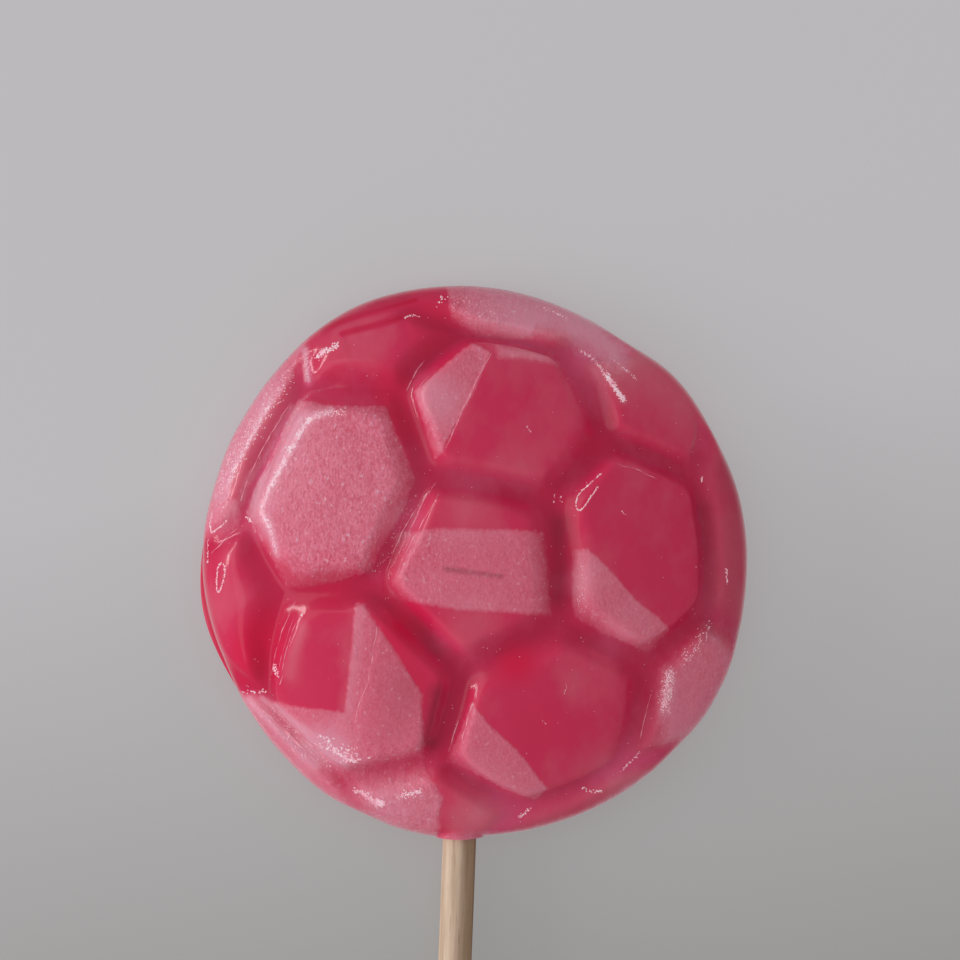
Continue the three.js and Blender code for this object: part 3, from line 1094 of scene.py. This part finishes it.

# Thin ridges that the mould's joints left in the sugar, with a pale glowing colour that is painted
# highlight: points on the plan, and half width
RIDGES = [
    ([(-21, 17.5), (-22, 15.7), (-24.4, 11), (-26.5, 6.6), (-26.4, 5.5), (-26.1, 4.2)], 0.08),
    ([(-22.2, 17.9), (-23.7, 15.4), (-25.8, 11.4), (-26.9, 8.7), (-27.6, 6.2)], 0.1),
    ([(-4.7, 9.3), (-6.4, 6.9), (-7.6, 4.8), (-8.9, 2.1), (-10, -1), (-10.2, -2)], 0.07),
    ([(-4.2, 7.9), (-5.9, 4.8), (-7.7, 1.5), (-8.9, -1.8), (-9, -2.5)], 0.07),
    ([(-20.6, -5.2), (-21.9, -8.2), (-22.6, -10.7), (-23.1, -12.9), (-23.2, -14.3)], 0.08),
    ([(-20.1, -7.4), (-20.7, -8.6), (-21.4, -10.9), (-21.9, -13.4)], 0.07),
    ([(-20.6, -6.8), (-21.5, -9.7), (-22, -11.7), (-22.4, -13.8)], 0.04),
    ([(-21.8, -14), (-22.2, -15.2)], 0.07),
    ([(1.2, 24.6), (0, 22.3), (-2, 17.5), (-3.7, 13.3)], 0.09),
    ([(-6.6, 23.5), (-7.7, 21.9), (-8.6, 19.8)], 0.08),
    ([(-6, 21.6), (-6.9, 20.6), (-7.4, 19.8)], 0.07),
    ([(16.4, 12.2), (18.8, 11.6), (21.1, 10.6)], 0.06),
    ([(21.4, -14.6), (20.9, -17.2), (20.2, -20.9)], 0.06),
    ([(1.2, -13.9), (0.6, -15.9), (-0.1, -18.8), (-0.6, -21.6)], 0.12),
    ([(-1, -18.1), (-1.5, -20), (-2.1, -22.2)], 0.07),
    ([(-10.9, -7.8), (-11.3, -11.7), (-11.9, -15.2), (-12.8, -17), (-13.1, -19.4)], 0.1),
    ([(-9.2, 28.4), (-8.3, 28.8), (-7.3, 28.6)], 0.1),
    ([(-31.2, 2.3), (-30.1, 3), (-29.1, 3.8)], 0.09),
    ([(-31, -0.2), (-29.4, 1.5), (-27.7, 3.2)], 0.09),
    ([(-25.7, -16.9), (-23.2, -19.2), (-20.1, -21.9), (-16.9, -24.8)], 0.22),
    ([(-24.2, -16.7), (-21.6, -19.3), (-18.8, -21.8), (-15.9, -24)], 0.2),
    ([(-26.7, -17.3), (-24.2, -20.5), (-21, -24), (-18.1, -26.5)], 0.18),
    ([(29.8, -0.5), (29.9, -1.5)], 0.12),
    (RIGHT_LOOP, 0.06),
    (LEFT_LOOP, 0.06),
]
RIDGE_STEP = 0.2
RIDGE_SIDES = 6
RIDGE_SINK = 0.55  # how deep a ridge's axis lies, as a share of its half width
RIDGE_WAVER = 0.05  # how far a ridge strays from its path
RIDGE_BEADS = 1.1  # wavelength of its thick and thin parts
# pale colour and glow of the ridges: painted highlight
RIDGE_COLOURS = (srgb(236, 118, 142), srgb(252, 176, 192))
RIDGE_GLOW = 0.14


def along_path(corners, step):
    """Points at even steps along a path with rounded corners."""
    corners = np.array(corners, float)
    for _ in range(2):
        cut = [corners[0]]
        for start, end in zip(corners[:-1], corners[1:]):
            cut += [start + (end - start) * 0.25, start + (end - start) * 0.75]
        corners = np.array(cut + [corners[-1]])
    run = np.concatenate([[0], np.cumsum(np.linalg.norm(np.diff(corners, axis=0), axis=1))])
    at = np.linspace(0, run[-1], max(4, int(run[-1] / step)) + 1)
    return np.column_stack([np.interp(at, run, corners[:, 0]), np.interp(at, run, corners[:, 1])])


def make_ridges():
    random = np.random.default_rng(41)
    points, faces = [], []
    for corners, half_width in RIDGES:
        plan = along_path(corners, RIDGE_STEP)
        plan = plan + RIDGE_WAVER * np.column_stack([wander(plan, 2.0, 51), wander(plan, 2.0, 52)])
        axis, normal = surface_over(plan)
        along = unit(np.gradient(axis, axis=0))
        side = unit(np.cross(normal, along))
        taper = np.sin(np.linspace(0.05, math.pi - 0.05, len(plan))) ** 0.4
        beads = np.clip(0.65 + 0.5 * wander(plan, RIDGE_BEADS, 53), 0.12, 1.15)
        radius = half_width * taper * beads * random.uniform(0.85, 1.1, len(plan))
        axis = axis - normal * (radius * RIDGE_SINK)[:, None]
        start = sum(len(row) for row in points)
        for centre, beside, up, reach in zip(axis, side, np.cross(along, side), radius):
            turn = full_turn(RIDGE_SIDES)
            points.append(centre + reach * (np.outer(np.cos(turn), beside) + np.outer(np.sin(turn), up)))
        last = start + (len(plan) - 1) * RIDGE_SIDES
        faces += tube_faces(start, len(plan), RIDGE_SIDES)
        faces.append(tuple(start + j for j in reversed(range(RIDGE_SIDES))))
        faces.append(tuple(last + j for j in range(RIDGE_SIDES)))
    ridges = make_mesh("ridges", np.vstack(points), faces)
    ridges.data.materials.append(glint_material("sugar_ridge", *RIDGE_COLOURS, RIDGE_GLOW))
    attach(ridges, "root")


# Single specks all over, most of them in the seams
SPECK_COUNT = 260
SPECK_TRIES = SPECK_COUNT * 12
SPECK_HALF_WIDTH = (0.02, 0.045)
SPECK_IN_SEAM = 0.8  # how likely a place in a seam is taken; one on a panel has the rest
SEAM_FROM = 0.3  # seam share from which a place counts as in a seam
SPECK_REACH = 31.5  # from the sweet's middle
GRAIN_REACH = 31.7

# Pale glowing grains, most of them heaped along the highlights as painted highlight, a few as bubbles: how
# many, along which points of the plan, spread to each side, half width
HIGHLIGHT_GRAINS = [
    (900, LEFT_EDGE[1:-1], 0.17, (0.035, 0.085)),
    (110, [(-15.6, 17.2), (-17.4, 17), (-19.1, 16.5)], 0.26, (0.03, 0.07)),
    (90, [(-23.9, 3.3), (-23.4, 1.6), (-23, 0.2)], 0.16, (0.03, 0.07)),
    (520, [(-30.8, 5.5), (-29.6, 9.6), (-26.9, 15), (-22.6, 21.2)], 0.65, (0.03, 0.08)),
    (260, [(-29.4, 7.4), (-28.3, 10.4), (-26.3, 14.6), (-24.5, 18.1)], 0.14, (0.04, 0.09)),
    (40, [(-31, 4.6), (-31.2, 3.8), (-31.2, 2.6), (-30.9, 2.2)], 0.05, (0.05, 0.1)),
    (26, [(-31, 2.3), (-30.3, 2.7), (-29.2, 3.8)], 0.06, (0.04, 0.09)),
    (30, [(-31.4, 1.4), (-31.5, 0.5), (-31.3, -0.5), (-31.4, -1.3)], 0.05, (0.04, 0.08)),
    (16, [(-26.8, 4.3), (-26.4, 3.9)], 0.1, (0.05, 0.1)),
    (5, [(-19.8, -6.9), (-19.7, -6.8)], 0.05, (0.08, 0.12)),
    (22, [(-26.8, -16.4), (-24.2, -16.2), (-23, -16.1)], 0.12, (0.05, 0.1)),
    (130, [(11.6, 25.5), (13, 24.7), (14.5, 22.9), (15.7, 21.3), (16.7, 19.9)], 0.13, (0.035, 0.08)),
    (220, [(14.6, 22.7), (15.7, 21.3), (16.9, 19.6)], 0.15, (0.04, 0.09)),
    (40, [(15.4, 24.6), (16.8, 23.5), (18.5, 22.1)], 0.08, (0.03, 0.07)),
    (190, [(-19.3, 23.3), (-18.7, 24.2), (-17.8, 24.3), (-16.9, 25)], 0.17, (0.04, 0.09)),
    (50, [(-20.7, 24.4), (-20.4, 22.5), (-20.2, 20.6)], 0.16, (0.03, 0.07)),
    (420, LOWER_RIGHT_HIGHLIGHT, 0.36, (0.025, 0.065)),
    (80, [(24.8, -10.8), (26.1, -9.8), (28.2, -5.8)], 0.35, (0.03, 0.08)),
    (170, [(-13, -27.3), (-11.8, -27.8), (-10.6, -28.7), (-9.4, -28.8)], 0.22, (0.04, 0.09)),
    (110, [(-10.9, -28.5), (-9.4, -28.8)], 0.16, (0.04, 0.09)),
    (70, [(-7.8, -27.9), (-6.4, -27.3), (-5.1, -27)], 0.2, (0.04, 0.1)),
    (110, [(-17.4, -21), (-15.4, -22.4), (-12.8, -23.4)], 0.5, (0.04, 0.12)),
    (60, [(-15.6, -22.6), (-13.2, -23.8), (-12.4, -23.4)], 0.14, (0.05, 0.11)),
    (40, [(-22.8, -13), (-22.5, -14.1)], 0.14, (0.05, 0.11)),
    (40, [(12.8, 0.4), (12.6, -5.4)], 0.25, (0.03, 0.07)),
    (150, RIGHT_LOOP, 0.04, (0.035, 0.08)),
    (110, LEFT_LOOP, 0.04, (0.04, 0.09)),
    (60, [(-4.5, 31.2), (-1, 30.6), (3, 30)], 0.8, (0.03, 0.07)),
    (40, [(6.3, 30.6), (8.2, 29.9), (10.1, 29.1)], 0.1, (0.03, 0.07)),
    (16, [(-9.2, 28.4), (-8.3, 28.8), (-7.3, 28.6)], 0.06, (0.05, 0.09)),
    (14, [(-5.2, 31), (-4.9, 31.3), (-4.8, 30.3), (-5.2, 30.4)], 0.05, (0.05, 0.09)),
    (20, [(6.6, -29.9), (7.3, -29.2), (8, -28.8)], 0.1, (0.05, 0.1)),
    (24, [(14, -26.1), (15, -26.6), (16.1, -26.3)], 0.1, (0.04, 0.09)),
    (24, [(18.2, -23.8), (19.5, -22.8), (20.4, -21.5)], 0.1, (0.04, 0.09)),
    (14, [(29.8, 0.2), (29.9, -1.5)], 0.06, (0.06, 0.1)),
    (9, [(5.7, 16.1), (6.1, 15.5)], 0.03, (0.03, 0.06)),
    (8, [(16.9, 6.9), (17.4, 6.3)], 0.04, (0.025, 0.05)),
    (10, [(9.2, 8.4), (9.1, 7.4)], 0.03, (0.03, 0.05)),
    (10, [(10, 8.3), (9.7, 7.6), (10.3, 7.5)], 0.03, (0.03, 0.05)),
    (9, [(11.4, -13.9), (11.1, -15)], 0.03, (0.025, 0.045)),
    (8, [(8.8, -18), (9.3, -18.5)], 0.05, (0.025, 0.045)),
    (6, [(26.5, 11), (26.5, 10.5)], 0.03, (0.07, 0.11)),
    (60, [(-7, 8), (-9.6, 1.4), (-11.6, -1.8)], 0.35, (0.02, 0.045)),
    (90, [(-25.6, -17.3), (-22.6, -20.3), (-18.6, -23.8)], 0.3, (0.03, 0.07)),
    (70, [(-23.6, -18), (-20.2, -21), (-15.4, -25.2)], 0.3, (0.03, 0.07)),
]
HIGHLIGHT_GRAIN_STEP = 0.05
GRAIN_SIDES = 5
GRAIN_ROWS = ((1.0, -0.4), (0.95, 0.15), (0.55, 0.35))  # reach and height, in half widths
GRAIN_TOP = 0.42
GRAIN_STRETCH = (1.0, 2.2)
# pale colour and glow of the specks and grains: painted highlight
GRAIN_COLOURS = (srgb(250, 160, 184), srgb(255, 222, 232))
GRAIN_GLOW = 0.22


def scattered_grains(random):
    """Places and half widths of the specks and of the grains heaped along the highlights."""
    place = random.uniform(-SPECK_REACH, SPECK_REACH, (SPECK_TRIES, 2))
    place = place[np.linalg.norm(place, axis=1) < SPECK_REACH]
    sunk = seam_share(place)[0] > SEAM_FROM
    likely = np.where(sunk, SPECK_IN_SEAM, 1 - SPECK_IN_SEAM)
    place = place[random.uniform(0, 1, len(place)) < likely][:SPECK_COUNT]
    places, widths = [place], [random.uniform(*SPECK_HALF_WIDTH, len(place))]
    for count, corners, spread, half_width in HIGHLIGHT_GRAINS:
        path = along_path(corners, HIGHLIGHT_GRAIN_STEP)
        at = random.integers(0, len(path), count)
        places.append(path[at] + random.normal(0, spread, (count, 2)))
        widths.append(random.uniform(*half_width, count))
    places, widths = np.vstack(places), np.concatenate(widths)
    inside = np.linalg.norm(places, axis=1) < GRAIN_REACH
    return places[inside], widths[inside]


def make_grains():
    random = np.random.default_rng(43)
    places, widths = scattered_grains(random)
    centres, normals = surface_over(places)
    points, faces = [], []
    for centre, up, half_width in zip(centres, normals, widths):
        turn = random.uniform(0, math.pi)
        first = unit(np.cross(up, [math.cos(turn), math.sin(turn), 0.1]))
        second = np.cross(up, first)
        longer = random.uniform(*GRAIN_STRETCH)
        start = len(points)
        for out, height in GRAIN_ROWS:
            for j in range(GRAIN_SIDES):
                angle = 2 * math.pi * j / GRAIN_SIDES
                flat = first * math.cos(angle) * longer + second * math.sin(angle)
                points.append(centre + half_width * (out * flat + height * up))
        points.append(centre + half_width * GRAIN_TOP * up)
        top = len(points) - 1
        faces += tube_faces(start, len(GRAIN_ROWS), GRAIN_SIDES)
        upper = start + 2 * GRAIN_SIDES
        faces += [(upper + j, upper + (j + 1) % GRAIN_SIDES, top) for j in range(GRAIN_SIDES)]
        faces.append(tuple(start + j for j in reversed(range(GRAIN_SIDES))))
    grains = make_mesh("grains", points, faces)
    grains.data.materials.append(glint_material("sugar_glint", *GRAIN_COLOURS, GRAIN_GLOW))
    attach(grains, "root")


STICK_SIDES = 64
STICK_ROWS = 150
STICK_BEVEL = ((0.0, 0.86), (0.15, 0.94), (0.45, 1.0))  # distance from the end, share of the radius
STICK_FLATS = ((0.006, 3, 0.05, 0), (0.004, 7, 0, 1))  # depth, flats, twist per mm, turn


def make_stick():
    """The dowel, with slightly flattened sides and bevelled ends."""
    low_y, high_y = STICK_LOW.y / MM, STICK_HIGH.y / MM
    azimuth = full_turn(STICK_SIDES)
    stations = [(low_y + from_end, shrink) for from_end, shrink in STICK_BEVEL]
    stations += [(y, 1.0) for y in np.linspace(low_y + 1, high_y - 1, STICK_ROWS)]
    stations += [(high_y - from_end, shrink) for from_end, shrink in reversed(STICK_BEVEL)]
    points = []
    for y, shrink in stations:
        wobble = 1.0
        for depth, flats, twist, turn in STICK_FLATS:
            wobble = wobble - depth * (1 + np.sin(flats * azimuth + y * twist + turn))
        radius = STICK_RADIUS * shrink * wobble
        points.append(np.column_stack([
            STICK_AXIS_X + radius * np.cos(azimuth),
            np.full(STICK_SIDES, y),
            STICK_AXIS_Z + radius * np.sin(azimuth),
        ]))
    points = np.vstack(points)
    faces = []
    last = (len(stations) - 1) * STICK_SIDES
    for row in range(0, last, STICK_SIDES):
        faces += band_faces(row, row + STICK_SIDES, STICK_SIDES)
    faces.append(tuple(range(STICK_SIDES)))
    faces.append(tuple(reversed(range(last, last + STICK_SIDES))))
    dowel = make_mesh("dowel", points, faces)
    dowel.data.materials.append(wood_material())
    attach(dowel, "root")
    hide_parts("stick")


def make_floor():
    half = FLOOR_HALF_SIDE
    mesh = bpy.data.meshes.new("floor")
    mesh.from_pydata(
        [(-half, -half, 0), (half, -half, 0), (half, half, 0), (-half, half, 0)], [], [(0, 1, 2, 3)]
    )
    floor = add_object("floor", mesh)
    floor.location.z = -FLOOR_GAP
    mesh.materials.append(floor_material())
    floor.visible_glossy = False


def photo_to_plan(x_px, y_px):
    """The point of the rim plane that a pixel of the photograph shows, in mm."""
    right = (x_px - SWEET_CENTRE_PX[0]) * MM_PER_PX
    up = (SWEET_CENTRE_PX[1] - y_px) * MM_PER_PX
    return (
        right * math.cos(LEAN) - up * math.sin(LEAN),
        right * math.sin(LEAN) + up * math.cos(LEAN),
    )


def make_camera():
    data = bpy.data.cameras.new("camera")
    camera = add_object("camera", data)
    x, y = photo_to_plan(PHOTO_SIDE_PX / 2, PHOTO_SIDE_PX / 2)
    camera.location = (x * MM, y * MM, (CAMERA_DISTANCE + RIM_PLANE) * MM)
    camera.rotation_euler = (0, 0, LEAN)
    data.sensor_width = 36.0
    data.lens = data.sensor_width * CAMERA_DISTANCE / (PHOTO_SIDE_PX * MM_PER_PX)
    data.clip_start = 0.01
    bpy.context.scene.camera = camera


LAMP_DISTANCE = 0.9
# Each lamp's azimuth and elevation in degrees, its size in metres and its power
WINDOW = (186, 17, (0.5, 0.3), 3.3)
GLOSS_STRIPS = {
    "low_strip": (158, 17, (0.75, 0.07), 1.0),
    "high_glow": (172, 40, (1.2, 0.35), 0.5),
}


def area_light(name, azimuth, elevation, size, power):
    """A soft lamp aimed at the sweet."""
    data = bpy.data.lights.new(name, "AREA")
    data.shape = "RECTANGLE"
    data.size, data.size_y = size
    data.energy = power
    lamp = add_object(name, data)
    a, e = math.radians(azimuth), math.radians(elevation)
    lamp.location = (
        LAMP_DISTANCE * math.cos(e) * math.cos(a),
        LAMP_DISTANCE * math.cos(e) * math.sin(a),
        LAMP_DISTANCE * math.sin(e),
    )
    lamp.rotation_euler = (-lamp.location).to_track_quat("-Z", "Y").to_euler()
    return lamp


SKY_COLOUR = (1.0, 0.99, 1.0, 1)
SKY_STRENGTH = 0.53
SKY_BIAS = 0.14  # how much brighter the sky is towards the window
SKY_BIAS_AZIMUTH = 190
SKY_IN_GLOSS = 0.15  # share of the sky that glossy surfaces mirror, as a dark room would give
TABLE_IN_GLOSS = 0.8  # the same from straight below, where the pale floor is
TABLE_SEEN_BELOW = (-0.45, -0.85)  # height of a ray's direction where the one share ends, the other starts


def make_sky():
    """An even studio sky, a little brighter towards the window."""
    sky = Shader(bpy.data.worlds.new("studio"))
    way = sky.node("ShaderNodeSeparateXYZ")
    sky.join(sky.node("ShaderNodeTexCoord").outputs["Generated"], way.inputs[0])
    azimuth = math.radians(SKY_BIAS_AZIMUTH)
    towards = sky.math("MULTIPLY", way.outputs["X"], math.cos(azimuth))
    towards = sky.math("MULTIPLY_ADD", way.outputs["Y"], math.sin(azimuth), towards)
    glow = sky.math("MULTIPLY_ADD", towards, SKY_STRENGTH * SKY_BIAS, SKY_STRENGTH)
    mirrored = sky.span(way.outputs["Z"], *TABLE_SEEN_BELOW, SKY_IN_GLOSS, TABLE_IN_GLOSS)
    is_glossy = sky.node("ShaderNodeLightPath").outputs["Is Glossy Ray"]
    share = sky.span(is_glossy, 0, 1, 1, mirrored)
    background = sky.tree.nodes["Background"]
    sky.join(sky.math("MULTIPLY", glow, share), background.inputs["Strength"])
    background.inputs["Color"].default_value = SKY_COLOUR
    bpy.context.scene.world = sky.owner


def make_lights():
    """A soft window light, and two bright strips that only the gloss shows."""
    area_light("window", *WINDOW).visible_glossy = False
    for name, settings in GLOSS_STRIPS.items():
        area_light(name, *settings).visible_diffuse = False
    make_sky()


make_camera()
make_sweet()
make_ridges()
make_grains()
make_stick()
make_floor()
make_lights()
bpy.context.scene.view_settings.view_transform = "Standard"
